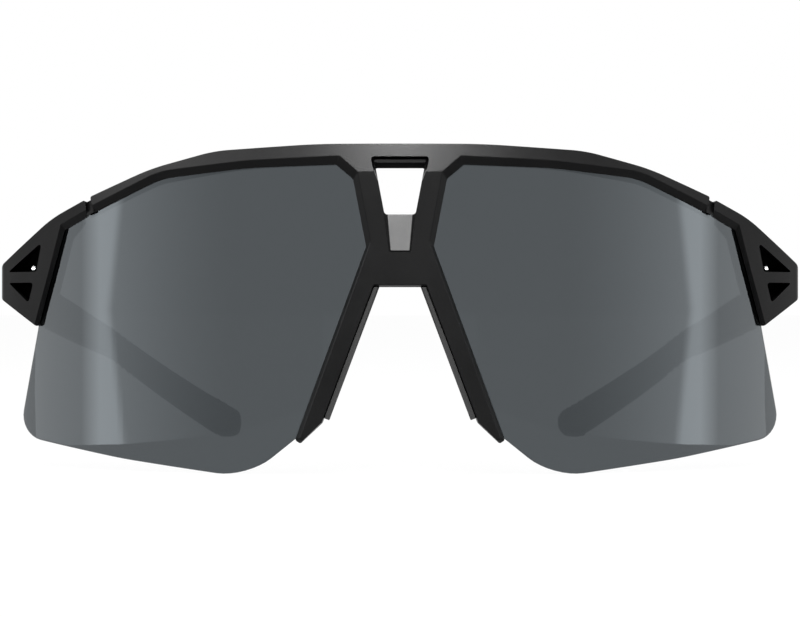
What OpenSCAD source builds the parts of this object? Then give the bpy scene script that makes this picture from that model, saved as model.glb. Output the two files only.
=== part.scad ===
// Wraparound sport sunglasses: a one-piece shield lens, a half frame and two folding temples.
// The pieces are drawn with the middle of the lens face at y = 0 and the front facing -Y,
// and are then moved so that the origin is under the middle of the whole object.

/* [Front] */
// Half the width over the hinges
half_w = 71.8; // [60:0.2:78]
// Height of the brow above the surface it stands on
front_h = 55.8; // [48:0.2:66]
// Radius of the lens's outer face
lens_r = 85; // [80:1:100]
// Thickness of the lens
lens_t = 2; // [1.6:0.1:2.4]
// How far the frame stands out in front of the lens
face_proud = 1.1; // [0.9:0.1:2.4]
// How far the frame reaches behind the lens
rear_lip = 1.6; // [1.2:0.1:2.4]
// How much the brow's face leans back by its top
brow_lean = 1; // [0:0.1:1.2]
// Height of the brow bar at the middle
brow_bar = 3.6; // [3.2:0.1:5]
// How deep the lens sits in the frame's groove
seat_depth = 1.7; // [1.4:0.1:1.9]

/* [Nose] */
// Height of the nose opening's top edge
nose_top = 31.7; // [29:0.1:34]
// Half the width of the nose opening at its top
nose_half = 3.5; // [3.2:0.1:4.5]
// Lean of the nose arms away from the upright, in degrees
nose_lean = 20.6; // [17:0.2:24]
// Width of a nose arm
nose_arm_w = 3.3; // [3:0.1:4.2]
// Thickness of the pad's strip along the nose arm
pad_strip = 0.9; // [0.7:0.1:1.2]
// How far the nose pad reaches back from the lens face
pad_reach = 12.4; // [10:0.2:15]

/* [Bridge] */
// Height of the vent window's lower edge
vent_z = 43.9; // [43:0.1:45]
// Half the width of the vent window at its lower edge
vent_half = 2.6; // [2.2:0.1:3]
// Thickness of the badge plate
badge_t = 0.45; // [0.3:0.05:0.6]
// Slit round the badge plate
badge_slit = 0.5; // [0.3:0.05:0.6]

/* [Hinge] */
// Distance of the hinge axis behind the lens face
hinge_y = 50; // [47:0.5:56]
// Distance of the hinge axis inside the outer side face
hinge_inset = 4.2; // [4:0.1:4.6]
// Radius of the hinge screw's shank
pin_r = 0.7; // [0.55:0.05:0.9]
// Radius of the knuckle and of the lugs round it
lug_r = 2.1; // [1.9:0.1:2.1]
// Height of the knuckle
knuckle_h = 2.1; // [1.6:0.1:2.5]

/* [Temples] */
// Distance from the lens face to the end of the ear sleeve
arm_end = 166.5; // [150:0.5:200]
// Thickness of the rigid arm
arm_t = 3.2; // [2.8:0.1:3.6]
// Height of the arm at the hinge
arm_h = 6.2; // [5.6:0.1:7]
// How far the ends of the arms come in from the hinges
arm_wrap = 33.5; // [26:0.5:38]
// Length of the rubber ear sleeve, measured front to back
sleeve_len = 63; // [50:0.5:70]
// Thickness of the ear sleeve
sleeve_t = 4.4; // [4:0.1:5.6]
// Thickness of the metal strip inside the ear sleeve
core_t = 1; // [0.8:0.1:1.4]

/* [Hidden] */

fit = 0.08;              // clearance of a moulded or pressed piece in its seat
lens_fit = 0.12;         // clearance of the lens in its groove
pin_fit = 0.05;          // radial clearance of the hinge screw in its bores
arc_step = 14;           // degrees from one point of a rounded corner to the next, at most
arc_run = 180;           // and its radius times that angle, at most
edge_share = 0.5;        // share of an edge that the rounding at one end may take
facets = 240;            // sides of the large wrap cylinders
past = 1;                // how far a cutting body runs past what it cuts
deep = 52;               // depth that the front's outlines are cut through

frame_r = lens_r + face_proud;
lens_back_r = lens_r - lens_t;
frame_back_r = lens_back_r - rear_lip;
y_mid = (arm_end - face_proud) / 2;

// brow: heights of the lower, lens-side edge of the bar at the middle and of its shoulder
brow_low = front_h - brow_bar;
brow_break = brow_low - 0.9;         // above this height the face leans back
notch_x = half_w - 17.9;             // outer end of the brow bar
notch_w = 0.95;                      // slot between the brow bar and the endpiece
shoulder_x = notch_x - 11;
crown_x = shoulder_x - 16.9;         // where the brow's lower edge starts to fall

// nose arms: the line of their inner edge
nose_low = 8.8;                      // height at which the arms' inner edge ends
nose_in = function (z) nose_half + pad_strip / cos(nose_lean) + (nose_top - z) * tan(nose_lean);

vent_top = front_h - 4.2;
vent_lean = 11;                      // degrees that the vent window's sides lean outwards
hinge_x = half_w - hinge_inset;
arm_z = front_h - 22.9;              // middle of the arm at the hinge

// ---- outlines: lists of corners [x, y, radius] ----

function unit(v) = v / norm(v);
function flat(p) = [p[0], p[1]];
function turned(v, a) = [v[0] * cos(a) - v[1] * sin(a), v[0] * sin(a) + v[1] * cos(a)];

// one corner between two neighbours, rounded by its radius as far as its edges leave room
function corner(a, b, c) =
    b[2] == 0 ? [flat(b)] :
    let (p = flat(a) - flat(b), q = flat(c) - flat(b), u = unit(p), v = unit(q), half = acos(u * v) / 2,
         r = min(b[2], min(norm(p), norm(q)) * edge_share * tan(half)),
         middle = flat(b) + unit(u + v) * r / sin(half),
         from = flat(b) + u * r / tan(half) - middle,
         to = flat(b) + v * r / tan(half) - middle,
         sweep = atan2(cross(from, to), from * to),
         n = ceil(max(abs(sweep) / arc_step, abs(sweep) * r / arc_run, 2)))
    [for (k = [0:n]) middle + turned(from, sweep * k / n)];

function rounded(c) =
    let (n = len(c))
    [for (i = [0:n - 1]) each corner(c[(i + n - 1) % n], c[i], c[(i + 1) % n])];

// the same outline, listed clockwise, with every edge moved out by g
function grown(c, g) =
    let (n = len(c))
    [for (i = [0:n - 1])
        let (a = unit(flat(c[i]) - flat(c[(i + n - 1) % n])), b = unit(flat(c[(i + 1) % n]) - flat(c[i])),
             p = [-a[1], a[0]], q = [-b[1], b[0]], side = cross(a, b) < 0 ? 1 : -1,
             r = c[i][2] == 0 ? 0 : max(0.1, c[i][2] + side * g),
             moved = flat(c[i]) + g * (p + q) / (1 + p * q))
        [moved[0], moved[1], r]];

// a half outline that starts and ends near the middle plane, with its mirror image
function both(c) = concat(c, [for (i = [len(c) - 1:-1:0]) [-c[i][0], c[i][1], c[i][2]]]);

// a band of half width w along a list of points
function edge(path, w) =
    let (n = len(path) - 1)
    [for (i = [0:n])
        let (d = unit(flat(path[min(i + 1, n)]) - flat(path[max(i - 1, 0)])))
        flat(path[i]) + w * [-d[1], d[0]]];
function band(path, w) =
    let (a = edge(path, w), b = edge(path, -w))
    concat(a, [for (i = [len(b) - 1:-1:0]) b[i]]);

// ---- shared bodies ----

// an outline in x and z, cut straight back from y0 to y1
module slab(outline, y0 = -past - face_proud, y1 = deep)
    translate([0, y1, 0]) rotate([90, 0, 0]) linear_extrude(y1 - y0) polygon(outline);

// an outline in y and z, cut straight across from x0 to x1
module side_slab(outline, x0, x1)
    translate([x0, 0, 0]) rotate([90, 0, 90]) linear_extrude(x1 - x0) polygon(outline);

// an upright round body of the wrap, taller than the front at both ends
module drum(r, more = 0)
    translate([0, lens_r, -past - more])
        cylinder(h = front_h + 2 * (past + more), r = r, $fn = facets);

module ring(r0, r1)
    difference() {
        drum(r1);
        drum(r0, past);
    }

// the frame's ring, whose face leans back along the brow
module frame_ring()
    translate([0, lens_r, 0]) rotate_extrude($fn = facets)
        polygon([[frame_back_r, -past], [frame_r, -past], [frame_r, brow_break],
                 [frame_r - brow_lean, front_h + past], [frame_back_r, front_h + past]]);

module placed() translate([0, -y_mid, 0]) children();
module right() mirror([1, 0, 0]) children();

// ---- lens ----

lens_top = brow_low + seat_depth;
lens_outline = both([
    [vent_half + 1.3, vent_z - 1.2, 0.4],
    [vent_half + 1.3 + (lens_top - vent_z) * tan(vent_lean - 2.6), lens_top, 0.4],
    [crown_x, lens_top - 0.35, 60],
    [shoulder_x - 1.3, lens_top - 2.1, 12],
    [half_w - 11.6, front_h - 12.6, 1.2],
    [half_w - 9.4, arm_z + 2.8, 20],
    [half_w - 7.5, arm_z - 8.6, 8],
    [half_w - 3.6, 5.5, 4.4],
    [half_w - 23.8, 2.15, 100],
    [nose_in(8) + 12.5, -0.56, 12.6],
    [nose_in(8) + 2, 7.9, 0.6],
    [nose_in(nose_top + 1.6) + 1.2, nose_top + 1.7, 1.5]]);

module lens_body(grow = 0)
    intersection() {
        ring(lens_back_r - grow, lens_r + grow);
        slab(rounded(grown(lens_outline, grow)));
    }

module shield_lens() placed() color("dimgray") lens_body();

// ---- front frame ----

arm_out = nose_arm_w / cos(nose_lean);
frame_outline = both([
    [crown_x - 12, front_h, 120],
    [crown_x + 5.5, front_h - 0.95, 22],
    [shoulder_x, front_h - 3.8, 35],
    [notch_x, front_h - 8.25, 0.4],
    [notch_x - 0.4, front_h - 11.15, 0.3],
    [shoulder_x - 2, brow_low - 1.9, 12],
    [crown_x, brow_low - 0.35, 60],
    [10.4, brow_low + 0.05, 0.6],
    [7.8, brow_low - 2.25, 1.5],
    [5.6, nose_top + 6.9, 1.2],
    [nose_in(5.9) + arm_out, 5.9, 0.4],
    [nose_in(5.9) + arm_out - 0.9, 5.3, 0.4],
    [nose_in(nose_low), nose_low, 0.6],
    [nose_in(nose_top), nose_top, 0.3]]);

// the vent window, and its mouth in front, which is cut higher and wider
vent_outline = both([
    [vent_half + (vent_top - vent_z) * tan(vent_lean), vent_top, 0.2],
    [vent_half, vent_z, 0.6]]);
vent_mouth = both([
    [vent_half + 2.2, vent_top + 1.9, 1],
    [vent_half + 1.4, vent_top, 0]]);

badge_outline = both([[2.1, vent_z - 0.2, 0.2], [1.6, vent_z - 6.1, 0.2]]);
badge_floor = frame_r - badge_t - fit - 0.1;

// the brow's flange behind the lens hangs a little lower than the lip in front, most at its ends
brow_flange = both([
    [crown_x - 2, brow_low + 1, 0],
    [shoulder_x, brow_low - 0.5, 0],
    [notch_x - 0.2, front_h - 9.9, 0],
    [notch_x - 0.5, front_h - 12, 0.3],
    [shoulder_x - 2.4, brow_low - 2.8, 12],
    [crown_x, brow_low - 0.5, 60],
    [10.4, brow_low - 0.15, 0.4]]);

module front_frame() placed() color("#2b2b2d")
    difference() {
        union() {
            intersection() {
                frame_ring();
                slab(rounded(frame_outline));
            }
            intersection() {
                ring(frame_back_r, lens_back_r - lens_fit);
                slab(rounded(brow_flange));
            }
        }
        lens_body(lens_fit);
        slab(rounded(vent_outline));
        intersection() {
            ring(lens_r, frame_r + past);
            slab(rounded(vent_mouth));
        }
        intersection() {
            ring(badge_floor, frame_r + past);
            slab(rounded(grown(badge_outline, badge_slit)));
        }
        tongue(fit);
        right() tongue(fit);
        pad_core(fit);
        right() pad_core(fit);
    }

module bridge_badge() placed() color("gray")
    intersection() {
        ring(badge_floor + fit, badge_floor + fit + badge_t);
        slab(rounded(badge_outline));
    }

// ---- endpieces ----

// the plan's outer line: the frame's face, a tight bend and the straight side
bend_from = half_w - 0.6;
bend_a = asin(bend_from / frame_r);
bend_r = (half_w - bend_from) / (1 - sin(bend_a));
bend_mid = [half_w - bend_r, lens_r - frame_r * cos(bend_a) + bend_r * cos(bend_a)];
butt_gap = 0.12;                     // between the endpiece and the open temple
skin = 1.5;                          // outer wall beside the hinge lugs
turn_gap = 0.25;                     // room round the lugs and the knuckle for turning

// everything inside the outer line, back to the hinge, that is not inside the frame's back
module side_form() {
    inner_x = hinge_x - lug_r;
    tall = front_h + 2 * past;
    difference() {
        union() {
            intersection() {
                drum(frame_r);
                translate([0, 0, -past]) cube([bend_from, hinge_y, tall]);
            }
            translate([bend_mid[0], bend_mid[1], -past]) cylinder(h = tall, r = bend_r, $fn = facets);
            translate([inner_x, bend_mid[1], -past]) cube([half_w - inner_x, hinge_y - bend_mid[1], tall]);
        }
        intersection() {
            drum(frame_back_r, past);
            translate([0, 0, -2 * past]) cube([inner_x, 2 * lens_r, tall + 2 * past]);
        }
        translate([0, hinge_y, -2 * past]) cube([half_w + past, lens_r, tall + 2 * past]);
    }
}

endpiece_outline = [
    [notch_x + notch_w, front_h - 8.8, 0.3],
    [half_w - 10.5, front_h - 11.9, 20],
    [half_w, arm_z + arm_h / 2 - 0.2, 1.5],
    [half_w, arm_z - arm_h / 2, 1],
    [half_w - 7.9, arm_z - 8.15, 0.5],
    [half_w - 9.1, arm_z - 4.5, 20],
    [half_w - 11.2, arm_z + 2.2, 20],
    [half_w - 13.3, front_h - 14.1, 0.8],
    [notch_x + notch_w - 0.4, front_h - 11.9, 0.3]];
upper_vent = [
    [half_w - 8.5, arm_z + 6.9, 0.4],
    [half_w - 1.5, arm_z + 1.7, 0.2],
    [half_w - 7.4, arm_z + 1.7, 0.5]];
lower_vent = [
    [half_w - 6.8, arm_z - 0.2, 0.5],
    [half_w - 1.6, arm_z - 0.2, 0.2],
    [half_w - 5.8, arm_z - 3.8, 0.4]];
// the flange behind the lens, wider than the lip in front of it
flange_outline = [
    [notch_x + notch_w, front_h - 9.4, 0.2],
    [half_w - 8, arm_z + 5, 0],
    [half_w - 8, arm_z - 7.5, 0.2],
    [half_w - 8.8, arm_z - 7.5, 0.2],
    [half_w - 12.3, arm_z - 2.2, 3],
    [half_w - 15, arm_z + 7.4, 2],
    [notch_x + notch_w - 0.4, front_h - 12.9, 0.3]];

vent_back = bend_mid[1] - 1.5;       // where the vents end
side_fall = 0.85;                    // slope at which the side narrows behind the vents
// the endpiece seen from the side: behind the vents it narrows to the temple's height
side_outline =
    let (low = arm_z - arm_h / 2 - 0.1, high = arm_z + arm_h / 2 + 0.1,
         vent_low = arm_z - 4.7, vent_high = arm_z + 6.1, run = 25) [
    [vent_back - run, vent_high + run * side_fall, 0],
    [vent_back + (vent_high - high) / side_fall, high, 4],
    [hinge_y + past, high, 0],
    [hinge_y + past, low, 0],
    [vent_back + (low - vent_low) / side_fall, low, 3],
    [vent_back - run, vent_low - run * side_fall, 0]];

// hinge levels, from the bottom lug up
slot_gap = 0.1;
lug_t = 1.35;
knuckle_z = arm_z - 1.65;
lug_top = knuckle_z + knuckle_h + slot_gap + lug_t;
lug_bottom = arm_z - arm_h / 2;

// the endpiece's tongue, which lies behind the lens inside the brow bar's end
module tongue(grow = 0)
    intersection() {
        ring(frame_back_r - grow, lens_back_r - lens_fit + grow / 2);
        slab(rounded(grown([
            [notch_x - 5, front_h - 6.4, 0.3], [notch_x + 3, front_h - 9.9, 0],
            [notch_x + 3, front_h - 12.4, 0], [notch_x - 5, front_h - 8.2, 0.3]], grow)));
    }

module hinge_disc(r, z0, z1, sides = 64)
    translate([hinge_x, hinge_y, z0]) cylinder(h = z1 - z0, r = r, $fn = sides);

module endpiece() color("#2b2b2d")
    difference() {
        union() {
            intersection() {
                side_form();
                slab(rounded(endpiece_outline), y1 = hinge_y + past);
                side_slab(rounded(side_outline), 0, half_w + past);
            }
            intersection() {
                ring(frame_back_r, lens_back_r - lens_fit);
                slab(rounded(flange_outline));
            }
            hinge_disc(lug_r, lug_bottom, lug_top);
            tongue();
        }
        lens_body(lens_fit);
        for (vent = [upper_vent, lower_vent])
            slab(rounded(vent), y1 = vent_back);
        // slot for the knuckle, and the room above the upper lug
        for (cut = [[knuckle_z - slot_gap, knuckle_h + 2 * slot_gap], [lug_top, arm_h]])
            translate([hinge_x - 3 * lug_r, hinge_y - lug_r - turn_gap, cut[0]])
                cube([3 * lug_r + hinge_inset - skin, 4 * lug_r, cut[1]]);
        hinge_disc(pin_r + pin_fit, lug_bottom - past, lug_top + past);
        hinge_disc(insert_r + fit / 4, lug_bottom - past, lug_bottom + insert_h);
    }

module left_endpiece() placed() endpiece();
module right_endpiece() placed() right() endpiece();

// ---- hinge screw and insert ----

insert_r = pin_r + 0.45;
insert_h = 1.2;
head_r = pin_r + 0.6;
head_h = 0.9;

module hinge_pin() color("silver")
    difference() {
        union() {
            hinge_disc(pin_r, lug_bottom + 0.2, lug_top + 0.3);
            translate([hinge_x, hinge_y, lug_top]) rotate_extrude($fn = 48)
                polygon(rounded([[0, head_h, 0], [head_r, head_h, 0.45], [head_r, 0, 0], [0, 0, 0]]));
        }
        // driver slot
        translate([hinge_x - head_r - past, hinge_y - 0.18, lug_top + head_h - 0.35])
            cube([2 * (head_r + past), 0.36, 1]);
    }

module hinge_insert() color("goldenrod")
    difference() {
        hinge_disc(insert_r, lug_bottom + 0.1, lug_bottom + insert_h);
        hinge_disc(pin_r + pin_fit / 2, lug_bottom - past, lug_bottom + insert_h + past);
    }

module left_hinge_pin() placed() hinge_pin();
module right_hinge_pin() placed() right() hinge_pin();
module left_hinge_insert() placed() hinge_insert();
module right_hinge_insert() placed() right() hinge_insert();

// ---- temples ----

// plan: the arm runs back from the hinge and curves in ever more towards its end
arm_from = hinge_y - 5;
arm_to = arm_end + 4;
arm_mid_x = half_w - arm_t / 2;
arm_x = function (y) arm_mid_x - arm_wrap * pow(max(0, y - arm_from) / (arm_end - arm_from), 1.56);
function arm_path(y0, y1, n) = [for (k = [0:n]) let (y = y0 + (y1 - y0) * k / n) [arm_x(y), y]];

// side view: straight from the hinge, down over the ear, level again at the end
sleeve_y = arm_end - sleeve_len;
arm_side = [
    [hinge_y - past, arm_z + arm_h / 2 + 0.1, 0],
    [sleeve_y - 21.5, arm_z - 3.3, 60],
    [sleeve_y, arm_z - 8.4, 60],
    [arm_end - 5.5, 7, 10],
    [arm_end, 5.4, 2.4],
    [arm_end, 0, 2.8],
    [arm_end - 6, 0, 6],
    [sleeve_y + 6.5, arm_z - 15.3, 50],
    [hinge_y + 7, arm_z - arm_h / 2 - 2.8, 8],
    [hinge_y - past, arm_z - arm_h / 2 - 0.4, 0]];
arm_core_line = [[sleeve_y - past, arm_z - 11], [sleeve_y + 14, arm_z - 15.3]];
tongue_h = 1.5;
core_line = [[sleeve_y + 6, arm_z - 12.8], [arm_end - 20, 8.5], [arm_end - 8, 4.7]];

module arm_band(y0, y1, t, n = 20)
    translate([0, 0, -past]) linear_extrude(front_h + 2 * past) polygon(band(arm_path(y0, y1, n), t / 2));

module arm_tongue(grow = 0)
    intersection() {
        arm_band(sleeve_y - past, sleeve_y + 14 + grow, 1.8 + 2 * grow, 8);
        side_slab(band(arm_core_line, tongue_h + grow), 0, half_w);
    }

module tip_core(grow = 0) color("silver")
    intersection() {
        arm_band(sleeve_y + 6 - grow, arm_end - 8 + grow, core_t + 2 * grow, 14);
        side_slab(band(core_line, 0.9 + grow), 0, half_w);
    }

module temple() color("#2b2b2d")
    difference() {
        union() {
            difference() {
                intersection() {
                    arm_band(hinge_y + butt_gap, sleeve_y, arm_t);
                    side_slab(rounded(arm_side), 0, half_w + past);
                }
                // room for the lugs and the screw's head
                hinge_disc(lug_r + turn_gap, -past, front_h);
            }
            arm_tongue();
            hinge_disc(lug_r, knuckle_z, knuckle_z + knuckle_h);
            // web from the knuckle to the arm
            translate([hinge_x - pin_r - 0.5, hinge_y, knuckle_z])
                cube([pin_r + 0.5 + hinge_inset - arm_t / 2, 2 * lug_r, knuckle_h]);
        }
        hinge_disc(pin_r + pin_fit, -past, front_h);
        tip_core(fit);
    }

module temple_tip() color("#1d1d1f")
    difference() {
        intersection() {
            arm_band(sleeve_y + fit, arm_to, sleeve_t, 24);
            side_slab(rounded(arm_side), 0, half_w + past);
        }
        arm_tongue(fit);
        tip_core(fit);
    }

module left_temple() placed() temple();
module right_temple() placed() right() temple();
module left_temple_tip() placed() temple_tip();
module right_temple_tip() placed() right() temple_tip();
module left_tip_core() placed() tip_core();
module right_tip_core() placed() right() tip_core();

// ---- nose pads ----

pad_top = 0.5;                       // down along the arm from the nose opening's corner
pad_len = (nose_top - nose_low) / cos(nose_lean) - 1.4;
pad_t = 1.9;
pad_out = nose_in(nose_low) + 1;     // the arm's back is furthest back here
pad_back = lens_r - sqrt(pow(frame_back_r, 2) - pow(pad_out, 2)) + 0.25;
pad_core_line = [[0.8, 1.8], [0.8, pad_back + 0.6], [2.1, pad_reach - 3.4]];
pad_plan = [
    [-pad_strip, -0.6, 0.3],
    [-pad_strip, pad_back + 0.6, 2],
    [1.5, pad_reach, 0.8],
    [1.5 + pad_t + 0.4, pad_reach - 1, 0.8],
    [pad_t, pad_back + 2.2, 2],
    [pad_t, pad_back, 0.3],
    [-fit / 2, pad_back, 0],
    [-fit / 2, -0.6, 0.2]];

// along a nose arm: x points away from the nose and z runs up the arm's inner edge
module along_nose()
    translate([nose_in(nose_top), 0, nose_top]) rotate([0, -nose_lean, 0]) children();

module pad_core(grow = 0) color("silver")
    along_nose() translate([0, 0, -pad_top - pad_len / 2 - 2 - grow])
        linear_extrude(4 + 2 * grow) polygon(band(pad_core_line, 0.3 + grow / 2));

module nose_pad() color("#1d1d1f")
    difference() {
        along_nose() intersection() {
            translate([0, 0, -pad_top - pad_len])
                linear_extrude(pad_len + 2 * pad_top) polygon(rounded(pad_plan));
            side_slab(rounded([
                [-1, pad_top, 0], [pad_back, pad_top, 0.5], [pad_reach + 0.1, -pad_top - 4, 4],
                [pad_reach + 0.1, -pad_top - pad_len, 5], [-1, -pad_top - pad_len, 0.3]]), -4, 8);
        }
        // level with the top edge of the nose opening, and a little behind the frame's face
        translate([0, -past, nose_top - fit]) cube([2 * pad_out, pad_reach + 2 * past, 2]);
        ring(frame_r - 0.3, frame_r + 3);
        pad_core(fit / 2);
    }

module left_nose_pad() placed() nose_pad();
module right_nose_pad() placed() right() nose_pad();
module left_nose_pad_core() placed() pad_core();
module right_nose_pad_core() placed() right() pad_core();

shield_lens();
front_frame();
bridge_badge();
left_endpiece();
right_endpiece();
left_hinge_pin();
right_hinge_pin();
left_hinge_insert();
right_hinge_insert();
left_temple();
right_temple();
left_temple_tip();
right_temple_tip();
left_tip_core();
right_tip_core();
left_nose_pad();
right_nose_pad();
left_nose_pad_core();
right_nose_pad_core();
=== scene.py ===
import bpy
import bmesh
from math import asin, cos, pi, radians, sin, sqrt, tan
from mathutils import Matrix, Vector


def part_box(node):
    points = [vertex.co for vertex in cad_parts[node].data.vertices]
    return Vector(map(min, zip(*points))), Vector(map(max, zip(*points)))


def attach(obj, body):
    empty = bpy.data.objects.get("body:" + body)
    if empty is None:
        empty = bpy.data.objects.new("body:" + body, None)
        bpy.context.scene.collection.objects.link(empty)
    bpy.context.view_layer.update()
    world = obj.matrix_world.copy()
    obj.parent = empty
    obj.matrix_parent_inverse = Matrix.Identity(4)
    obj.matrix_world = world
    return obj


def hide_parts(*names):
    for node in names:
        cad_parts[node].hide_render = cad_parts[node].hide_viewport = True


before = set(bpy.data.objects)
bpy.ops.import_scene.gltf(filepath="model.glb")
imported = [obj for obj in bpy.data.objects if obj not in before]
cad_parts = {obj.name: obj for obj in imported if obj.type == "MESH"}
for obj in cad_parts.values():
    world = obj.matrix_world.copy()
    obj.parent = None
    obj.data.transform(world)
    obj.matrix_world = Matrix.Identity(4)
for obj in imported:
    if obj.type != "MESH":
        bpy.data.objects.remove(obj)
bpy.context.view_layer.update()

# Everything is drawn in millimetres with y = 0 at the middle of the lens face,
# then scaled and moved into place.
mm = 0.001
weld = 1e-4  # points nearer than this are one point
snap = 1e-5  # the same while a shape is drawn or sliced
flat = 0.2  # edges turning less than this stay as they are, in radians
sharpAngle = 32  # faces meeting at more than this are shaded apart, in degrees
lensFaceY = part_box("shield_lens")[0].y

wrap = {
    "lensRadius": 85,
    "faceRadius": 86.1,  # outer face of the frame
    "lip": 0.95,  # depth at which the slanted edge beside the lens ends
    "lens": (1.1, 3.1),  # depths of the lens's two faces
    "slot": (1.03, 3.22),  # depths of its groove
    "depth": 4.7,  # whole depth of the front
    "strip": 1.8,  # width of the strips that follow the curve
    "lensStrip": 1.1,
    "reach": 72,  # how far out the strips go
    "spare": 0.02,  # no strip ends nearer than this to the drawing's own end
    "lensEdge": 0.25,  # rounding of the lens's rim
    "slotGap": 0.12,  # room round the lens in its groove
}


def bothSides(half):
    return half + [[-x, z, r] for x, z, r in reversed(half)]


# the outline with its corners rounded, as a closed list of points
def roundedRing(corners, steps=6):
    bm = bmesh.new()
    verts = [bm.verts.new((x, 0, z)) for x, z, r in corners]
    bm.faces.new(verts)
    for k, (x, z, r) in enumerate(corners):
        if r:
            before, after = corners[k - 1], corners[(k + 1) % len(corners)]
            a, b = Vector((before[0] - x, before[1] - z)), Vector((after[0] - x, after[1] - z))
            reach = min(r / tan(a.angle(b) / 2), min(a.length, b.length) * 0.49)
            bmesh.ops.bevel(bm, geom=[verts[k]], offset=reach, offset_type="OFFSET", segments=steps,
                            profile=0.5, affect="VERTICES", material=-1)
    bm.faces.ensure_lookup_table()
    ring = [(v.co.x, v.co.z) for v in bm.faces[0].verts]
    bm.free()
    return ring


def grownRing(ring, g):
    area = sum(ring[k - 1][0] * p[1] - p[0] * ring[k - 1][1] for k, p in enumerate(ring))
    out = []
    for k, p in enumerate(ring):
        a = (Vector(p) - Vector(ring[k - 1])).normalized()
        b = (Vector(ring[(k + 1) % len(ring)]) - Vector(p)).normalized()
        n = Vector((a.y + b.y, -a.x - b.x)) * (1 if area > 0 else -1)
        out.append(tuple(Vector(p) + n * g / (1 + a.dot(b))))
    return out


placing = {
    "y": lambda a, b, d: (a, d, b),
    "z": lambda a, b, d: (a, b, d),
    "x": lambda a, b, d: (d, a, b),
}


# a solid through several rings of equally many points, each at its own depth
def layered(rings, across="y"):
    bm = bmesh.new()
    place = placing[across]
    ring, depth = rings[0]
    face = bm.faces.new([bm.verts.new(place(a, b, depth)) for a, b in ring])
    for k, (ring, depth) in enumerate(rings[1:]):
        made = bmesh.ops.extrude_face_region(bm, geom=[face])["geom"]
        if k and face.is_valid:  # the cap that is now inside
            bmesh.ops.delete(bm, geom=[face], context="FACES_ONLY")
        face = next(g for g in made if isinstance(g, bmesh.types.BMFace))
        for v, (a, b) in zip(face.verts, ring):
            v.co = place(a, b, depth)
    bmesh.ops.remove_doubles(bm, verts=bm.verts, dist=snap)
    bmesh.ops.recalc_face_normals(bm, faces=bm.faces)
    return bm


# rounds the rim of the cap that lies at this depth
def softRim(bm, depth, width, steps=3, across="y", keep=None):
    axis = "xyz".index(across)
    rim = [e for e in bm.edges
           if all(abs(v.co[axis] - depth) < weld for v in e.verts) and len(e.link_faces) == 2
           and e.calc_face_angle(0) > flat and (keep is None or keep(e))]
    bmesh.ops.bevel(bm, geom=rim, offset=width, offset_type="OFFSET", segments=steps, profile=0.5,
                    affect="EDGES", clamp_overlap=True, material=-1)
    return bm


def asObject(bm, name):
    mesh = bpy.data.meshes.new(name)
    bm.to_mesh(mesh)
    bm.free()
    obj = bpy.data.objects.new(name, mesh)
    bpy.context.scene.collection.objects.link(obj)
    return obj


# cuts, joins or trims a solid with others: tools is a list of (bmesh, operation)
def carved(bm, tools):
    obj = asObject(bm, "carving")
    helpers = []
    for tool, operation in tools:
        helper = asObject(tool, "tool")
        helpers.append(helper)
        mod = obj.modifiers.new("carve", "BOOLEAN")
        mod.operation, mod.solver, mod.object = operation, "MANIFOLD", helper
    deps = bpy.context.evaluated_depsgraph_get()
    mesh = bpy.data.meshes.new_from_object(obj.evaluated_get(deps))
    result = bmesh.new()
    result.from_mesh(mesh)
    bpy.data.meshes.remove(mesh)
    for used in [obj] + helpers:
        data = used.data
        bpy.data.objects.remove(used)
        bpy.data.meshes.remove(data)
    bmesh.ops.remove_doubles(result, verts=result.verts, dist=weld)
    bmesh.ops.dissolve_degenerate(result, edges=result.edges, dist=weld)
    return result


def sliced(bm, places, axis=0):
    normal = [0, 0, 0]
    normal[axis] = 1
    for at in places:
        point = [0, 0, 0]
        point[axis] = at
        bmesh.ops.bisect_plane(bm, geom=bm.verts[:] + bm.edges[:] + bm.faces[:], dist=snap,
                               plane_co=point, plane_no=normal)
    return bm


def steps(low, high, size):
    n = max(1, round((high - low) / size))
    return [low + (high - low) * k / n for k in range(n + 1)]


# bends a flat drawing round the wrap: its y is the depth behind the frame's face
def wrapped(bm, strip=None):
    xs = [v.co.x for v in bm.verts]
    places = steps(-wrap["reach"], wrap["reach"], strip or wrap["strip"])
    cuts = [x for x in places if min(xs) + wrap["spare"] < x < max(xs) - wrap["spare"]]
    sliced(bm, cuts)
    for v in bm.verts:
        r = wrap["faceRadius"] - v.co.y
        v.co.y = wrap["lensRadius"] - sqrt(r * r - v.co.x ** 2)
    return bm


def plate(ring, near, far):
    return layered([(ring, far), (ring, near)])


def block(low, high):
    bm = bmesh.new()
    bmesh.ops.create_cube(bm, size=1)
    size = Vector(high) - Vector(low)
    bmesh.ops.scale(bm, vec=size, verts=bm.verts)
    bmesh.ops.translate(bm, vec=Vector(low) + size / 2, verts=bm.verts)
    return bm


def disc(x, y, r, low, high, sides=48):
    bm = bmesh.new()
    bmesh.ops.create_cone(bm, cap_ends=True, segments=sides, radius1=r, radius2=r, depth=high - low)
    bmesh.ops.translate(bm, vec=(x, y, (low + high) / 2), verts=bm.verts)
    return bm


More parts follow.
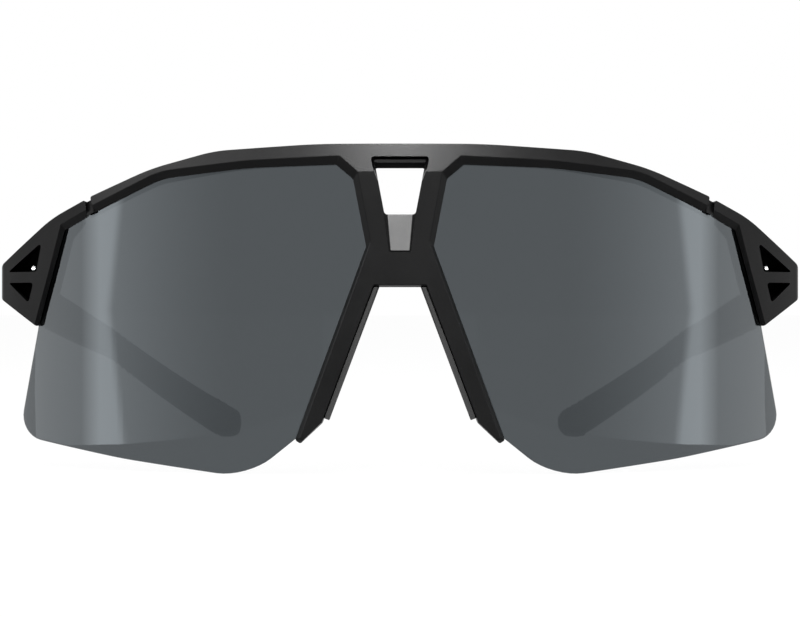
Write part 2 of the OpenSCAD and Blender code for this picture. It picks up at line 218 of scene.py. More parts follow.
# turns a drawing into a finished piece; the right one is the left one mirrored
def piece(bm, name, material, body, nodes, right=False, crease=None):
    bmesh.ops.remove_doubles(bm, verts=bm.verts, dist=weld)
    if right:
        bmesh.ops.scale(bm, vec=(-1, 1, 1), verts=bm.verts)
        bmesh.ops.reverse_faces(bm, faces=bm.faces)
    bmesh.ops.scale(bm, vec=(mm, mm, mm), verts=bm.verts)
    bmesh.ops.translate(bm, vec=(0, lensFaceY, 0), verts=bm.verts)
    for f in bm.faces:
        f.smooth = True
    obj = asObject(bm, name)
    obj.data.set_sharp_from_angle(angle=radians(sharpAngle))
    if crease:  # a height at which the faces break, though only a little
        for e in obj.data.edges:
            if all(abs(obj.data.vertices[k].co.z - crease * mm) < 1e-6 for k in e.vertices):
                e.use_edge_sharp = True
    obj.data.materials.append(material)
    weighted = obj.modifiers.new("evenShading", "WEIGHTED_NORMAL")
    weighted.keep_sharp = True
    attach(obj, body)
    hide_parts(*nodes)
    openEdges = sum(1 for count in edgeUse(obj.data) if count != 2)
    print(f"{name}: {len(obj.data.polygons)} faces, {openEdges} open edges")
    return obj


def edgeUse(mesh):
    use = [0] * len(mesh.edges)
    for loop in mesh.loops:
        use[loop.edge_index] += 1
    return use


# "span" is the width of the view at the lens face, in millimetres
view = {"distance": 0.520, "height": 0.0281, "span": 134.4, "sensor": 36}
cameraData = bpy.data.cameras.new("camera")
cameraData.sensor_width = view["sensor"]
cameraData.lens = view["sensor"] * view["distance"] / (view["span"] * mm)
cameraData.clip_start = 0.01
camera = bpy.data.objects.new("camera", cameraData)
camera.location = (0, lensFaceY - view["distance"], view["height"])
camera.rotation_euler = (radians(90), 0, 0)
bpy.context.scene.collection.objects.link(camera)
bpy.context.scene.camera = camera
bpy.context.scene.view_settings.view_transform = "Standard"


def material(name):
    mat = bpy.data.materials.new(name)
    mat.use_nodes = True
    tree = mat.node_tree
    shader = tree.nodes["Principled BSDF"]
    return mat, tree, shader


def addNode(tree, kind, **values):
    node = tree.nodes.new(kind)
    for key, value in values.items():
        if key in node.inputs:
            node.inputs[key].default_value = value
        else:
            setattr(node, key, value)
    return node


def group(name, inputs, outputs):
    tree = bpy.data.node_groups.new(name, "ShaderNodeTree")
    for label, kind, value in inputs:
        socket = tree.interface.new_socket(name=label, in_out="INPUT", socket_type=kind)
        if value is not None:
            socket.default_value = value
    for label, kind in outputs:
        tree.interface.new_socket(name=label, in_out="OUTPUT", socket_type=kind)
    return tree, tree.nodes.new("NodeGroupInput"), tree.nodes.new("NodeGroupOutput")


# fine moulded grain: a height for bump, and a tone and roughness that drift over the surface
def grainGroup():
    tree, given, out = group("mouldedGrain", [
        ("Vector", "NodeSocketVector", None), ("Grain Scale", "NodeSocketFloat", 5000),
        ("Drift Scale", "NodeSocketFloat", 60), ("Dark", "NodeSocketColor", (0.02, 0.02, 0.02, 1)),
        ("Light", "NodeSocketColor", (0.03, 0.03, 0.03, 1)), ("Smooth", "NodeSocketFloat", 0.4),
        ("Rough", "NodeSocketFloat", 0.6)],
        [("Height", "NodeSocketFloat"), ("Color", "NodeSocketColor"), ("Roughness", "NodeSocketFloat")])
    link = tree.links.new
    grain = addNode(tree, "ShaderNodeTexNoise", Detail=3, Roughness=0.6)
    cells = addNode(tree, "ShaderNodeTexVoronoi", feature="SMOOTH_F1")
    drift = addNode(tree, "ShaderNodeTexNoise", Detail=4, Roughness=0.55)
    for node in (grain, drift, cells):
        link(given.outputs["Vector"], node.inputs["Vector"])
    link(given.outputs["Grain Scale"], grain.inputs["Scale"])
    link(given.outputs["Grain Scale"], cells.inputs["Scale"])
    link(given.outputs["Drift Scale"], drift.inputs["Scale"])
    height = addNode(tree, "ShaderNodeMix", Factor=0.5)
    link(grain.outputs["Fac"], height.inputs["A"])
    link(cells.outputs["Distance"], height.inputs["B"])
    link(height.outputs["Result"], out.inputs["Height"])
    blend = addNode(tree, "ShaderNodeMix", Factor=0.35)
    link(drift.outputs["Fac"], blend.inputs["A"])
    link(grain.outputs["Fac"], blend.inputs["B"])
    spread = addNode(tree, "ShaderNodeMapRange")
    spread.inputs["From Min"].default_value = 0.3
    spread.inputs["From Max"].default_value = 0.7
    link(blend.outputs["Result"], spread.inputs["Value"])
    tone = addNode(tree, "ShaderNodeMix", data_type="RGBA")
    link(spread.outputs["Result"], tone.inputs[0])
    link(given.outputs["Dark"], tone.inputs[6])
    link(given.outputs["Light"], tone.inputs[7])
    link(tone.outputs[2], out.inputs["Color"])
    rough = addNode(tree, "ShaderNodeMix")
    link(spread.outputs["Result"], rough.inputs[0])
    link(given.outputs["Smooth"], rough.inputs["A"])
    link(given.outputs["Rough"], rough.inputs["B"])
    link(rough.outputs["Result"], out.inputs["Roughness"])
    return tree


grain = grainGroup()


def moulded(name, look):
    mat, tree, shader = material(name)
    coords = tree.nodes.new("ShaderNodeTexCoord")
    node = addNode(tree, "ShaderNodeGroup", node_tree=grain)
    node.inputs["Grain Scale"].default_value = look["grainScale"]
    node.inputs["Drift Scale"].default_value = look["driftScale"]
    node.inputs["Dark"].default_value = (*look["dark"], 1)
    node.inputs["Light"].default_value = (*look["light"], 1)
    node.inputs["Smooth"].default_value = look["roughness"][0]
    node.inputs["Rough"].default_value = look["roughness"][1]
    tree.links.new(coords.outputs["Object"], node.inputs["Vector"])
    bump = addNode(tree, "ShaderNodeBump", Strength=look["bump"], Distance=look["bumpDepth"])
    tree.links.new(node.outputs["Height"], bump.inputs["Height"])
    tree.links.new(bump.outputs["Normal"], shader.inputs["Normal"])
    tree.links.new(node.outputs["Color"], shader.inputs["Base Color"])
    tree.links.new(node.outputs["Roughness"], shader.inputs["Roughness"])
    shader.inputs["Metallic"].default_value = look.get("metallic", 0)
    shader.inputs["Specular IOR Level"].default_value = look.get("specular", 0.5)
    return mat


frameBlack = moulded("frameBlack", {
    "dark": (0.004, 0.004, 0.0042), "light": (0.007, 0.007, 0.0073), "roughness": (0.31, 0.38),
    "grainScale": 5200, "driftScale": 70, "bump": 0.25, "bumpDepth": 0.00004, "specular": 0.06})
sleeveRubber = moulded("sleeveRubber", {
    "dark": (0.008, 0.008, 0.0085), "light": (0.014, 0.014, 0.0145), "roughness": (0.6, 0.75),
    "grainScale": 3600, "driftScale": 90, "bump": 0.35, "bumpDepth": 0.00005, "specular": 0.2})
padRubber = moulded("padRubber", {
    "dark": (0.006, 0.006, 0.006), "light": (0.011, 0.011, 0.011), "roughness": (0.62, 0.78),
    "grainScale": 4200, "driftScale": 120, "bump": 0.3, "bumpDepth": 0.00004, "specular": 0.12})
badgeGrey = moulded("badgeGrey", {
    "dark": (0.095, 0.095, 0.095), "light": (0.125, 0.125, 0.125), "roughness": (0.5, 0.6),
    "grainScale": 6500, "driftScale": 260, "bump": 0.15, "bumpDepth": 0.00003, "metallic": 0.05,
    "specular": 0.2})
hingeSteel = moulded("hingeSteel", {
    "dark": (0.5, 0.5, 0.51), "light": (0.66, 0.66, 0.67), "roughness": (0.2, 0.34),
    "grainScale": 7000, "driftScale": 500, "bump": 0.08, "bumpDepth": 0.00002, "metallic": 1})
insertBrass = moulded("insertBrass", {
    "dark": (0.55, 0.4, 0.16), "light": (0.7, 0.52, 0.22), "roughness": (0.25, 0.4),
    "grainScale": 7000, "driftScale": 500, "bump": 0.08, "bumpDepth": 0.00002, "metallic": 1})

lensLook = {"tint": (0.031, 0.034, 0.036), "ior": 1.69, "sheen": (0.83, 0.93, 1.0), "roughness": (0.0, 0.03),
            "driftScale": 22, "grainScale": 300, "drift": 0.03}


def smokedLens():
    mat, tree, shader = material("smokedLens")
    coords = tree.nodes.new("ShaderNodeTexCoord")
    node = addNode(tree, "ShaderNodeGroup", node_tree=grain)
    t = lensLook["tint"]
    node.inputs["Grain Scale"].default_value = lensLook["grainScale"]
    node.inputs["Drift Scale"].default_value = lensLook["driftScale"]
    node.inputs["Dark"].default_value = (*[c * (1 - lensLook["drift"]) for c in t], 1)
    node.inputs["Light"].default_value = (*[c * (1 + lensLook["drift"]) for c in t], 1)
    node.inputs["Smooth"].default_value = lensLook["roughness"][0]
    node.inputs["Rough"].default_value = lensLook["roughness"][1]
    tree.links.new(coords.outputs["Object"], node.inputs["Vector"])
    tree.links.new(node.outputs["Color"], shader.inputs["Base Color"])
    tree.links.new(node.outputs["Roughness"], shader.inputs["Roughness"])
    shader.inputs["IOR"].default_value = lensLook["ior"]
    shader.inputs["Specular Tint"].default_value = (*lensLook["sheen"], 1)
    shader.inputs["Transmission Weight"].default_value = 1
    return mat


lensSmoke = smokedLens()
print("materials ready")


nose = {"top": 31.7, "half": 3.5, "lean": 20.6, "armWidth": 3.3, "strip": 0.9, "low": 8.8}


def noseIn(z):
    lean = radians(nose["lean"])
    return nose["half"] + nose["strip"] / cos(lean) + (nose["top"] - z) * tan(lean)


lensOutline = bothSides([
    [3.9, 42.7, 0.4], [5.38, 53.9, 0.4], [26, 53.55, 60], [41.6, 51.8, 12], [60.2, 43.2, 1.2],
    [62.4, 35.7, 20], [64.3, 24.3, 8], [68.2, 5.5, 4.4], [48, 2.15, 100], [noseIn(8) + 12.5, -0.56, 12.6],
    [noseIn(8) + 2, 7.9, 0.6], [noseIn(33.3) + 1.2, 33.4, 1.5]])
lensRing = roundedRing(lensOutline, 8)


def makeLens():
    near, far = wrap["lens"]
    bm = plate(lensRing, near, far)
    softRim(bm, near, wrap["lensEdge"])
    softRim(bm, far, wrap["lensEdge"])
    wrapped(bm, wrap["lensStrip"])
    return piece(bm, "lensShield", lensSmoke, "front", ["shield_lens"])


def lensSlot():
    return plate(grownRing(lensRing, wrap["slotGap"]), *wrap["slot"])


makeLens()


armOut = nose["armWidth"] / cos(radians(nose["lean"]))
footX = noseIn(5.9) + armOut
front = {
    # outline beside the lens, behind the slanted edge
    "side": bothSides([
        [14, 55.8, 120], [31.5, 54.85, 22], [42.9, 52.0, 35], [53.9, 47.55, 0.4], [53.5, 44.65, 0.35],
        [40.9, 50.3, 12], [26, 51.85, 60], [10.75, 52.3, 0.4], [7.9, 49.9, 0.9], [5.7, 38.55, 0.8],
        [footX, 5.9, 0.4], [footX - 0.9, 5.3, 0.4], [noseIn(8.8), 8.8, 0.6], [noseIn(31.7), 31.7, 0.35]]),
    # the flat face in front of it
    "face": bothSides([
        [14, 55.8, 120], [31.5, 54.85, 22], [42.9, 52.0, 35], [53.9, 47.55, 0.4], [53.62, 45.95, 0.35],
        [41.25, 51.55, 12], [26, 53.15, 60], [10.2, 53.8, 0.4], [7.1, 51.05, 0.7], [4.92, 39.3, 0.8],
        [footX - 0.75, 6.2, 0.4], [footX - 1.3, 5.85, 0.4], [noseIn(8.8) + 0.1, 9.0, 0.6],
        [noseIn(31.7) - 0.05, 32.1, 0.35]]),
    # the flange behind the lens
    "flange": bothSides([
        [14, 55.8, 120], [31.5, 54.85, 22], [42.9, 52.0, 35], [53.9, 47.55, 0.4], [53.4, 43.8, 0.35],
        [40.5, 49.5, 12], [26, 51.8, 60], [10.7, 52.25, 0.5], [7.85, 49.9, 1.2], [5.65, 38.55, 0.8],
        [footX, 5.9, 0.4], [footX - 0.9, 5.3, 0.4], [noseIn(8.8), 8.8, 0.6], [noseIn(31.7), 31.7, 0.35]]),
    "vent": bothSides([[4.1, 51.8, 0.2], [2.6, 43.9, 0.6]]),
    # the hood over the vent: its opening, the thin bar across it, and the hollow below the bar
    "hoodFront": bothSides([[4.97, 53.67, 0.55], [4.62, 51.9, 0.1], [3.78, 49.6, 0.1]]),
    "hoodBack": bothSides([[4.6, 53.3, 0.3], [4.35, 51.9, 0.1], [3.66, 49.6, 0.1]]),
    "hoodDepth": 2.3,
    "bar": bothSides([[4.35, 53.1, 0.2], [4.25, 52.68, 0.1]]),
    "barFront": 0.75,
    "underBar": bothSides([[4.2, 52.63, 0.1], [4.1, 51.2, 0.1]]),
    "badge": bothSides([[2.12, 43.86, 0.1], [1.6, 37.8, 0.2]]),
    "badgeSeat": bothSides([[2.66, 44.3, 0.05], [1.8, 37.62, 0.15]]),
    "badgeDepths": (0.1, 0.85, 0.95),
    # a thin web that closes the notch beside the endpiece, in front of the lens
    "web": [[53.2, 46.9, 0.1], [54.75, 46.3, 0.1], [54.4, 44.35, 0.1], [53.3, 44.8, 0.1]],
    "webDepths": (0.5, 0.88),
    "tongue": [[48.9, 49.4, 0.3], [56.9, 45.9, 0.3], [56.9, 43.4, 0.3], [48.9, 47.6, 0.3]],
    "leanFrom": 51.1,
    "lean": 1 / 5.5,
    "leanBend": (40, 0.42),  # how far out the lean's lower line starts to fall with the brow, and how fast
    "leanReach": 3,  # how deep the lean is felt above the lens
    "lensTop": 54.4,
    "edge": 0.2,
    "backEdge": 0.35,
    "ventFlare": 0.3,  # how much the vent widens at the back, and how deep that is
    "tongueGap": 0.08,
    "seatEdge": 0.12,  # the chamfer round the badge's seat
    "badgeEdge": 0.16,
}


def makeFrame():
    side, face, flange = (roundedRing(front[k]) for k in ("side", "face", "flange"))
    deep, slot = wrap["depth"], wrap["slot"]
    bm = layered([(flange, deep), (flange, slot[1]), (side, slot[1]), (side, wrap["lip"]), (face, 0)])
    softRim(bm, 0, front["edge"])
    softRim(bm, deep, front["backEdge"])
    vent = roundedRing(front["vent"])
    flare = grownRing(vent, front["ventFlare"])
    hoodFront, hoodBack = roundedRing(front["hoodFront"]), roundedRing(front["hoodBack"])
    seat = roundedRing(front["badgeSeat"])
    seatRim, rimDepth = grownRing(seat, front["seatEdge"]), front["seatEdge"]
    tongue, web = grownRing(roundedRing(front["tongue"]), front["tongueGap"]), roundedRing(front["web"])
    bm = carved(bm, [
        (plate(web, *front["webDepths"]), "UNION"),
        (plate([(-x, z) for x, z in web], *front["webDepths"]), "UNION"),
        (lensSlot(), "DIFFERENCE"),
        (layered([(flare, deep + 0.5), (flare, deep + 0.01), (vent, deep - front["ventFlare"]), (vent, -1)]),
         "DIFFERENCE"),
        (layered([(hoodBack, front["hoodDepth"]), (hoodFront, 0), (hoodFront, -1)]), "DIFFERENCE"),
        (plate(roundedRing(front["underBar"]), front["hoodDepth"] - 0.1, deep - 0.8), "DIFFERENCE"),
        (plate(roundedRing(front["bar"]), front["barFront"], front["hoodDepth"] + 0.1), "UNION"),
        (layered([(seat, front["badgeDepths"][2]), (seat, rimDepth), (seatRim, 0), (seatRim, -1)]),
         "DIFFERENCE"),
        (plate(tongue, slot[1] - 0.06, deep + 0.2), "DIFFERENCE"),
        (plate([(-x, z) for x, z in tongue], slot[1] - 0.06, deep + 0.2), "DIFFERENCE"),
    ])
    sliced(bm, [front["leanFrom"]], axis=2)
    for v in bm.verts:
        reach = wrap["lip"] if v.co.z < front["lensTop"] else front["leanReach"]
        bendAt, fall = front["leanBend"]
        low = front["leanFrom"] - max(0, abs(v.co.x) - bendAt) * fall
        if v.co.z > low and v.co.y < reach:
            v.co.y += (v.co.z - low) * front["lean"] * (1 - v.co.y / reach)
    wrapped(bm)
    return piece(bm, "frontFrame", frameBlack, "front", ["front_frame"],
                 crease=front["leanFrom"])


makeFrame()


def makeBadge():
    ring = roundedRing(front["badge"])
    near, far, _ = front["badgeDepths"]
    bm = plate(ring, near, far)
    softRim(bm, near, front["badgeEdge"])
    wrapped(bm)
    return piece(bm, "bridgeBadge", badgeGrey, "front", ["bridge_badge"])


makeBadge()
print("front ready")


side = {
    "halfWidth": 71.8,
    "bendFrom": 71.2,
    "start": 54.0,  # where the plan starts, under the brow's end
    "hinge": (67.6, 50.0),
    "inner": 65.5,
    "outline": [
        [54.85, 47.0, 0.3], [61.3, 43.9, 20], [71.8, 35.8, 1.5], [71.8, 29.8, 1], [64.1, 24.75, 0.5],
        [63.0, 28.4, 20], [61.0, 35.1, 20], [58.85, 41.85, 0.8], [54.5, 44.1, 0.3]],
    "flange": [
        [54.85, 46.4, 0.2], [63.8, 37.9, 0.1], [63.8, 25.4, 0.2], [63.0, 25.4, 0.2], [59.5, 30.7, 3],
        [56.8, 40.3, 2], [54.45, 42.9, 0.3]],
    # the slanted edge beside the lens: its line on the face and at the lens
    "slantFace": [
        [53.2, 46.1], [59.55, 42.9], [61.75, 35.2], [63.8, 28.6], [65.9, 21.6], [50, 21.6], [50, 46.1]],
    "slantLens": [
        [53.2, 44.85], [58.85, 41.9], [61.0, 35.1], [63.0, 28.4], [65.0, 21.6], [50, 21.6], [50, 44.85]],
    "upperVent": [[63.3, 39.8, 0.4], [70.3, 34.6, 0.2], [64.4, 34.6, 0.5]],
    "lowerVent": [[65.0, 32.7, 0.5], [70.2, 32.7, 0.2], [66.0, 29.1, 0.4]],
    "ventBack": 45.0,
    "ventFloor": 4.2,  # a thin wall is left behind the vents, so that they look dark
    "ventArea": [(60, 20), (72, 20), (72, 48), (60, 48)],
    # seen from the side: behind the vents the endpiece narrows to the temple's height
    "profile": [
        [12, 60.25, 0], [40.4, 36.1, 4], [51, 36.1, 0], [51, 29.7, 0], [38.75, 29.7, 3], [12, 6.95, 0]],
    # a small window that lets the screw's head show in the upper vent:
    # its front and back end, each with its depth
    "screwWindow": (([[65.6, 34.9], [66.1, 34.9], [65.95, 35.7], [65.45, 35.7]], 35.6),
                    ([[67.05, 35.0], [67.75, 35.0], [67.6, 35.8], [66.9, 35.8]], 48.2)),
    "lugRadius": 2.1,
    "knuckle": (31.25, 33.35),
    "lugTop": 34.8,
    "lugBottom": 29.8,
    "pinRadius": 0.75,
    "insertRadius": 1.17,
    "insertTop": 31.0,
    "bore": (25, 40),
    "inset": 4.2,  # from the outer side to the hinge's axis
    "skin": 1.5,  # outer wall beside the hinge
    "knuckleGap": 0.1,
    "turnGap": 0.25,  # room round the lugs and the knuckle for turning
    "room": (6.3, 4),  # how far the knuckle's slot runs inwards and backwards of the axis
    "roomTop": 42,
}


# the plan of the endpiece: the wrap's face, a tight bend, the straight side and the inside
def planRing():
    face, half, start = wrap["faceRadius"], side["halfWidth"], side["start"]
    bendAngle = asin(side["bendFrom"] / face)
    bendRadius = (half - side["bendFrom"]) / (1 - sin(bendAngle))
    centre = (0, wrap["lensRadius"], 0)
    bendCentre = (half - bendRadius, centre[1] - (face - bendRadius) * cos(bendAngle), 0)
    back = face - wrap["depth"]
    bm = bmesh.new()

    def arc(vert, about, angle, count):
        made = bmesh.ops.spin(bm, geom=[vert], cent=about, axis=(0, 0, 1), dvec=(0, 0, 0), angle=angle,
                              steps=count, use_duplicate=False)["geom_last"]
        return next(g for g in made if isinstance(g, bmesh.types.BMVert))

    startAngle = asin(start / face)
    vert = bm.verts.new((start, centre[1] - face * cos(startAngle), 0))
    vert = arc(vert, centre, bendAngle - startAngle, 10)
    arc(vert, bendCentre, pi / 2 - bendAngle, 12)
    y = side["hinge"][1]
    bm.verts.new((half, y, 0))
    bm.verts.new((side["inner"], y, 0))
    innerAngle = asin(side["inner"] / back)
    vert = bm.verts.new((side["inner"], centre[1] - back * cos(innerAngle), 0))
    arc(vert, centre, asin((start - 1) / back) - innerAngle, 10)
    ring = [(v.co.x, v.co.y) for v in bm.verts]
    bm.free()
    return ring


def makeEndpiece(name, right):
    x, y = side["hinge"]
    plan = layered([(planRing(), 15), (planRing(), 60)], across="z")
    outline = roundedRing(side["outline"])
    body = layered([(outline, 55), (outline, -5)])
    lens = wrapped(lensSlot())
    flange = wrapped(plate(roundedRing(side["flange"]), wrap["slot"][1] - 0.1, wrap["depth"] + 0.02))
    tongue = wrapped(plate(roundedRing(front["tongue"]), wrap["slot"][1] + 0.02, wrap["depth"] + 0.02))
    slant = wrapped(layered([([tuple(p) for p in side["slantLens"]], wrap["lip"]),
                             ([tuple(p) for p in side["slantFace"]], -0.05)]))
    lugs = disc(x, y, side["lugRadius"], side["lugBottom"], side["lugTop"])
    profile = roundedRing(side["profile"])
    profile = layered([(profile, 40), (profile, 75)], across="x")
    tools = [(plan, "INTERSECT"), (profile, "INTERSECT"), (flange, "UNION"), (tongue, "UNION"),
             (lugs, "UNION"), (lens, "DIFFERENCE"), (slant, "DIFFERENCE")]
    for key in ("upperVent", "lowerVent"):
        ring = roundedRing(side[key])
        shell = wrapped(plate(side["ventArea"], -1, side["ventFloor"]))
        vent = carved(layered([(ring, side["ventBack"]), (ring, -5)]), [(shell, "INTERSECT")])
        tools.append((vent, "DIFFERENCE"))
    gap, (inwards, backwards) = side["knuckleGap"], side["room"]
    near, far = y - side["lugRadius"] - side["turnGap"], x + side["inset"] - side["skin"]
    low, high = side["knuckle"]
    for low, high in ((low - gap, high + gap), (side["lugTop"], side["roomTop"])):
        tools.append((block((x - inwards, near, low), (far, y + backwards, high)), "DIFFERENCE"))
    window = [([tuple(p) for p in ring], depth) for ring, depth in side["screwWindow"]]
    tools.append((layered(window[::-1]), "DIFFERENCE"))
    tools.append((disc(x, y, side["pinRadius"], *side["bore"], 32), "DIFFERENCE"))
    tools.append((disc(x, y, side["insertRadius"], side["bore"][0], side["insertTop"], 32), "DIFFERENCE"))
    bm = carved(body, tools)
    return piece(bm, name, frameBlack, "front", ["right_endpiece" if right else "left_endpiece"],
                 right=right)


makeEndpiece("leftEndpiece", False)
makeEndpiece("rightEndpiece", True)
print("endpieces ready")


arm = {
    "front": 45.0, "end": 166.5, "x": 70.2, "wrap": 33.5, "power": 1.56,
    "thick": 3.2, "round": 1.0, "sleeveThick": 4.4, "sleeveRound": 1.75,
    "butt": 50.12, "joint": 103.5, "jointGap": 0.08,
    "strip": 2.4, "strips": (40, 170), "spare": 0.1,  # width of the strips that follow the bend
    "probe": 0.1,  # half the length over which the bend's slope is taken
    "squareTo": 49.5,  # in front of this the arm's rim is not rounded
    "web": ((-1.2, 0), (2.6, 4.2)),  # from the knuckle to the arm, from the hinge's axis
    "bore": (20, 45),
    "outline": [
        [49, 36.1, 0], [82, 29.6, 60], [103.5, 24.5, 60], [161, 7, 10], [166.15, 5.4, 2.4], [166.15, 0, 2.8],
        [160.5, 0, 6], [110, 17.6, 50], [57, 27.0, 8], [49, 29.4, 0]],
}


def armX(y):
    return arm["x"] - arm["wrap"] * (max(0, y - arm["front"]) / (arm["end"] - arm["front"])) ** arm["power"]


# bends a straight arm to its plan: its x is the distance outside the middle line
def armBent(bm):
    for v in bm.verts:
        off, y = v.co.x, v.co.y
        slope = (armX(y + arm["probe"]) - armX(y - arm["probe"])) / (2 * arm["probe"])
        normal = Vector((1, -slope)).normalized()
        v.co.x = armX(y) + normal.x * off
        v.co.y = y + normal.y * off
    return bm


def armPart(thick, soft, low, high):
    ring = roundedRing(arm["outline"], 8)
    bm = layered([(ring, -thick / 2), (ring, thick / 2)], across="x")
    for at in (-thick / 2, thick / 2):
        softRim(bm, at, soft, 5, across="x",
                keep=lambda e: not all(v.co.y < arm["squareTo"] for v in e.verts))
    for at, sense in ((low, -1), (high, 1)):
        if at is None:
            continue
        cut = bmesh.ops.bisect_plane(bm, geom=bm.verts[:] + bm.edges[:] + bm.faces[:], dist=snap,
                                     plane_co=(0, at, 0), plane_no=(0, sense, 0), clear_outer=True)
        rim = [g for g in cut["geom_cut"] if isinstance(g, bmesh.types.BMEdge)]
        bmesh.ops.contextual_create(bm, geom=rim)
    ys = [v.co.y for v in bm.verts]
    low, high = min(ys) + arm["spare"], max(ys) - arm["spare"]
    sliced(bm, [y for y in steps(*arm["strips"], arm["strip"]) if low < y < high], axis=1)
    return bm


def makeTemple(name, right):
    x, y = side["hinge"]
    bm = armBent(armPart(arm["thick"], arm["round"], arm["butt"], arm["joint"]))
    low, high = side["knuckle"]
    near, far = arm["web"]
    web = block((x + near[0], y + near[1], low), (x + far[0], y + far[1], high))
    bm = carved(bm, [
        (disc(x, y, side["lugRadius"] + side["turnGap"], *arm["bore"], 48), "DIFFERENCE"),
        (disc(x, y, side["lugRadius"], low, high), "UNION"),
        (web, "UNION"),
        (disc(x, y, side["pinRadius"], *arm["bore"], 32), "DIFFERENCE")])
    where = "right" if right else "left"
    return piece(bm, name, frameBlack, where + "_arm", [where + "_temple"], right=right)


def makeSleeve(name, right):
    bm = armBent(armPart(arm["sleeveThick"], arm["sleeveRound"], arm["joint"] + arm["jointGap"], None))
    where = "right" if right else "left"
    return piece(bm, name, sleeveRubber, where + "_arm", [where + "_temple_tip"],
                 right=right)


for right in (False, True):
    label = "right" if right else "left"
    makeTemple(label + "Temple", right)
    makeSleeve(label + "EarSleeve", right)
print("temples ready")


pad = {"strip": 0.9, "reach": 12.4, "thick": 1.9, "top": 0.5, "back": 5.075, "topGap": 0, "sunk": 0.3}
pad["length"] = (nose["top"] - nose["low"]) / cos(radians(nose["lean"])) - 1.4
pad["plan"] = [
    [-pad["strip"], -0.6, 0.3], [-pad["strip"], pad["back"] + 0.6, 2], [1.5, pad["reach"], 0.8],
    [pad["thick"] + 1.9, pad["reach"] - 1, 0.8], [pad["thick"], pad["back"] + 2.2, 2],
    [pad["thick"], pad["back"], 0.3], [-0.04, pad["back"], 0.05], [-0.04, -0.6, 0.2]]
pad["side"] = [
    [-1, pad["top"], 0.1], [pad["back"], pad["top"], 0.5], [pad["reach"] + 0.1, -pad["top"] - 4, 4],
    [pad["reach"] + 0.1, -pad["top"] - pad["length"], 5], [-1, -pad["top"] - pad["length"], 0.3]]


def makePad(name, right):
    plan, profile = roundedRing(pad["plan"]), roundedRing(pad["side"], 8)
    bm = layered([(plan, -pad["top"] - pad["length"] - 1), (plan, 2 * pad["top"])], across="z")
    bm = carved(bm, [(layered([(profile, -4), (profile, 8)], across="x"), "INTERSECT")])
    place = Matrix.Translation((noseIn(nose["top"]), 0, nose["top"]))
    turn = place @ Matrix.Rotation(radians(-nose["lean"]), 4, "Y")
    bmesh.ops.transform(bm, matrix=turn, verts=bm.verts)
    faceCut = wrapped(plate([(-2, -2), (-2, 40), (22, 40), (22, -2)], -4, pad["sunk"]))
    bm = carved(bm, [
        (block((0, -3, nose["top"] - pad["topGap"]), (30, 20, nose["top"] + 4)), "DIFFERENCE"),
        (faceCut, "DIFFERENCE")])
    where = "right" if right else "left"
    return piece(bm, name, padRubber, "front", [where + "_nose_pad"], right=right)


makePad("leftNosePad", False)
makePad("rightNosePad", True)
print("nose pads ready")


for node, mat in {"hinge_pin": hingeSteel, "hinge_insert": insertBrass, "tip_core": hingeSteel,
                  "nose_pad_core": hingeSteel}.items():
    for where in ("left_", "right_"):
        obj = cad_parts[where + node]
        obj.data.materials.clear()
        obj.data.materials.append(mat)


studio = {
    "floorSize": 12, "floorTone": 0.8, "floorGlow": 1.05, "cameraShare": 0.9,
    "ambient": 0.35,
    "overhead": {"size": (1.2, 1.0), "place": (0, -0.1, 1.1), "aim": (0, 0, 0.03), "radiance": 1.3},
    "browLight": {"size": (0.1, 0.05), "place": (0, -0.4, 0.3), "aim": (0, -0.08, 0.05), "radiance": 670},
    "wideLight": {"size": (1.8, 0.4), "place": (0, -0.9, 0.75), "aim": (0, -0.08, 0.05), "radiance": 40},
    "sideLight": {"size": (1.1, 0.3), "place": (0.85, -0.42, 0.5), "aim": (0, -0.06, 0.05), "radiance": 24},
    # a glowing card beside each end of the lens, seen only in reflections: its glow swells towards
    # a soft, slightly bent edge, is full behind it and fades again further back
    "card": {
        "away": 0.15, "front": -0.4, "back": 0.055, "top": 0.3, "edge": -0.0042,
        "bend": 0.39, "bendAt": 0.028, "soft": 0.009, "swellFrom": -0.141, "swell": 0.85, "full": 1.5,
        "fadeFrom": 0.003, "fadeTo": 0.017, "fade": 1.75},
}


# 1 where a glossy or transmission ray arrives, and the given share where a camera ray arrives
def lightPathWhite(tree, cameraShare=1.0):
    path = tree.nodes.new("ShaderNodeLightPath")
    seen = addNode(tree, "ShaderNodeMath", operation="MULTIPLY")
    seen.inputs[1].default_value = cameraShare
    tree.links.new(path.outputs["Is Camera Ray"], seen.inputs[0])
    for kind in ("Is Glossy Ray", "Is Transmission Ray"):
        more = addNode(tree, "ShaderNodeMath", operation="MAXIMUM")
        tree.links.new(seen.outputs[0], more.inputs[0])
        tree.links.new(path.outputs[kind], more.inputs[1])
        seen = more
    return seen.outputs[0]


def makeWorld():
    world = bpy.data.worlds.new("studio")
    bpy.context.scene.world = world
    world.use_nodes = True
    tree = world.node_tree
    background = tree.nodes["Background"]
    seen = lightPathWhite(tree)
    mix = addNode(tree, "ShaderNodeMix", data_type="RGBA")
    mix.inputs[6].default_value = (studio["ambient"],) * 3 + (1,)
    mix.inputs[7].default_value = (1, 1, 1, 1)
    tree.links.new(seen, mix.inputs[0])
    tree.links.new(mix.outputs[2], background.inputs["Color"])


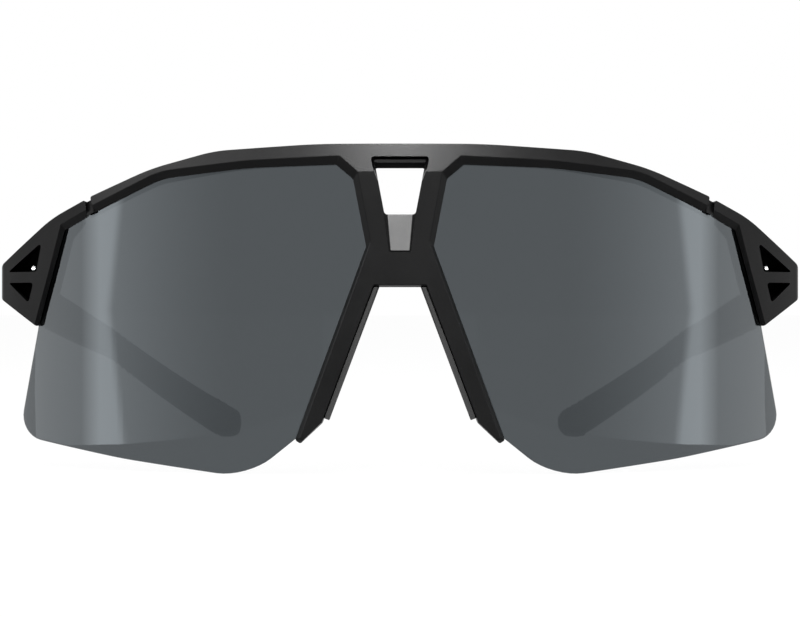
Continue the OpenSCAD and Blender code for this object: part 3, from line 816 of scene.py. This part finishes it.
def makeFloor():
    bm = bmesh.new()
    bmesh.ops.create_grid(bm, x_segments=1, y_segments=1, size=studio["floorSize"])
    floor = asObject(bm, "floor")
    mat, tree, shader = material("paleFloor")
    tone = studio["floorTone"]
    shader.inputs["Base Color"].default_value = (tone, tone, tone, 1)
    shader.inputs["Roughness"].default_value = 0.9
    glow = addNode(tree, "ShaderNodeEmission", Strength=studio["floorGlow"])
    glow.inputs["Color"].default_value = (1, 1, 1, 1)
    mix = tree.nodes.new("ShaderNodeMixShader")
    tree.links.new(lightPathWhite(tree, studio["cameraShare"]), mix.inputs[0])
    tree.links.new(shader.outputs[0], mix.inputs[1])
    tree.links.new(glow.outputs[0], mix.inputs[2])
    tree.links.new(mix.outputs[0], tree.nodes["Material Output"].inputs["Surface"])
    floor.data.materials.append(mat)


def softbox(name, size, place, aim, radiance, glossOnly=False):
    data = bpy.data.lights.new(name, "AREA")
    data.shape = "RECTANGLE"
    data.size, data.size_y = size
    data.energy = radiance * pi * size[0] * size[1]
    light = bpy.data.objects.new(name, data)
    light.location = place
    light.rotation_euler = (Vector(aim) - Vector(place)).to_track_quat("-Z", "Y").to_euler()
    light.visible_camera = light.visible_transmission = False
    light.visible_diffuse = not glossOnly
    bpy.context.scene.collection.objects.link(light)
    return light


def mathNode(tree, operation, *values):
    node = addNode(tree, "ShaderNodeMath", operation=operation)
    for socket, value in zip(node.inputs, values):
        if isinstance(value, bpy.types.NodeSocket):
            tree.links.new(value, socket)
        else:
            socket.default_value = value
    return node.outputs[0]


def cardGlow():
    look = studio["card"]
    mat, tree, shader = material("cardGlow")
    coords = tree.nodes.new("ShaderNodeTexCoord")
    place = tree.nodes.new("ShaderNodeSeparateXYZ")
    tree.links.new(coords.outputs["Object"], place.inputs[0])
    depth = mathNode(tree, "SUBTRACT", place.outputs["Y"], lensFaceY)
    bend = mathNode(tree, "ABSOLUTE", mathNode(tree, "SUBTRACT", place.outputs["Z"], look["bendAt"]))
    shifted = mathNode(tree, "MULTIPLY_ADD", bend, look["bend"], depth)
    behind = mathNode(tree, "SUBTRACT", shifted, look["edge"])
    full = addNode(tree, "ShaderNodeMapRange", interpolation_type="SMOOTHSTEP")
    tree.links.new(behind, full.inputs["Value"])
    full.inputs["From Min"].default_value = -look["soft"] / 2
    full.inputs["From Max"].default_value = look["soft"] / 2
    swell = addNode(tree, "ShaderNodeMapRange")
    tree.links.new(depth, swell.inputs["Value"])
    swell.inputs["From Min"].default_value = look["swellFrom"]
    swell.inputs["From Max"].default_value = look["edge"]
    strength = mathNode(tree, "MULTIPLY_ADD", full.outputs[0], look["full"], 1.0)
    squared = mathNode(tree, "MULTIPLY", swell.outputs[0], swell.outputs[0])
    strength = mathNode(tree, "MULTIPLY_ADD", squared, look["swell"], strength)
    fade = addNode(tree, "ShaderNodeMapRange")
    tree.links.new(depth, fade.inputs["Value"])
    fade.inputs["From Min"].default_value = look["fadeFrom"]
    fade.inputs["From Max"].default_value = look["fadeTo"]
    strength = mathNode(tree, "SUBTRACT", strength, mathNode(tree, "MULTIPLY", fade.outputs[0], look["fade"]))
    glow = tree.nodes.new("ShaderNodeEmission")
    tree.links.new(strength, glow.inputs["Strength"])
    tree.links.new(glow.outputs[0], tree.nodes["Material Output"].inputs["Surface"])
    return mat


def makeCards():
    look = studio["card"]
    mat = cardGlow()
    for sense in (-1, 1):
        bm = bmesh.new()
        x, near, far = sense * look["away"], lensFaceY + look["front"], lensFaceY + look["back"]
        corners = [(x, near, 0), (x, far, 0), (x, far, look["top"]), (x, near, look["top"])]
        bm.faces.new([bm.verts.new(c) for c in corners])
        card = asObject(bm, "reflectionCard")
        card.data.materials.append(mat)
        card.visible_camera = card.visible_diffuse = card.visible_transmission = card.visible_shadow = False


makeWorld()
makeFloor()
softbox("overhead", **studio["overhead"])
softbox("browLight", **studio["browLight"], glossOnly=True)
softbox("wideLight", **studio["wideLight"], glossOnly=True)
for sense, where in ((-1, "left"), (1, "right")):
    look = dict(studio["sideLight"])
    look["place"] = (sense * look["place"][0], *look["place"][1:])
    softbox(where + "SideLight", **look, glossOnly=True)
makeCards()
print("studio ready")
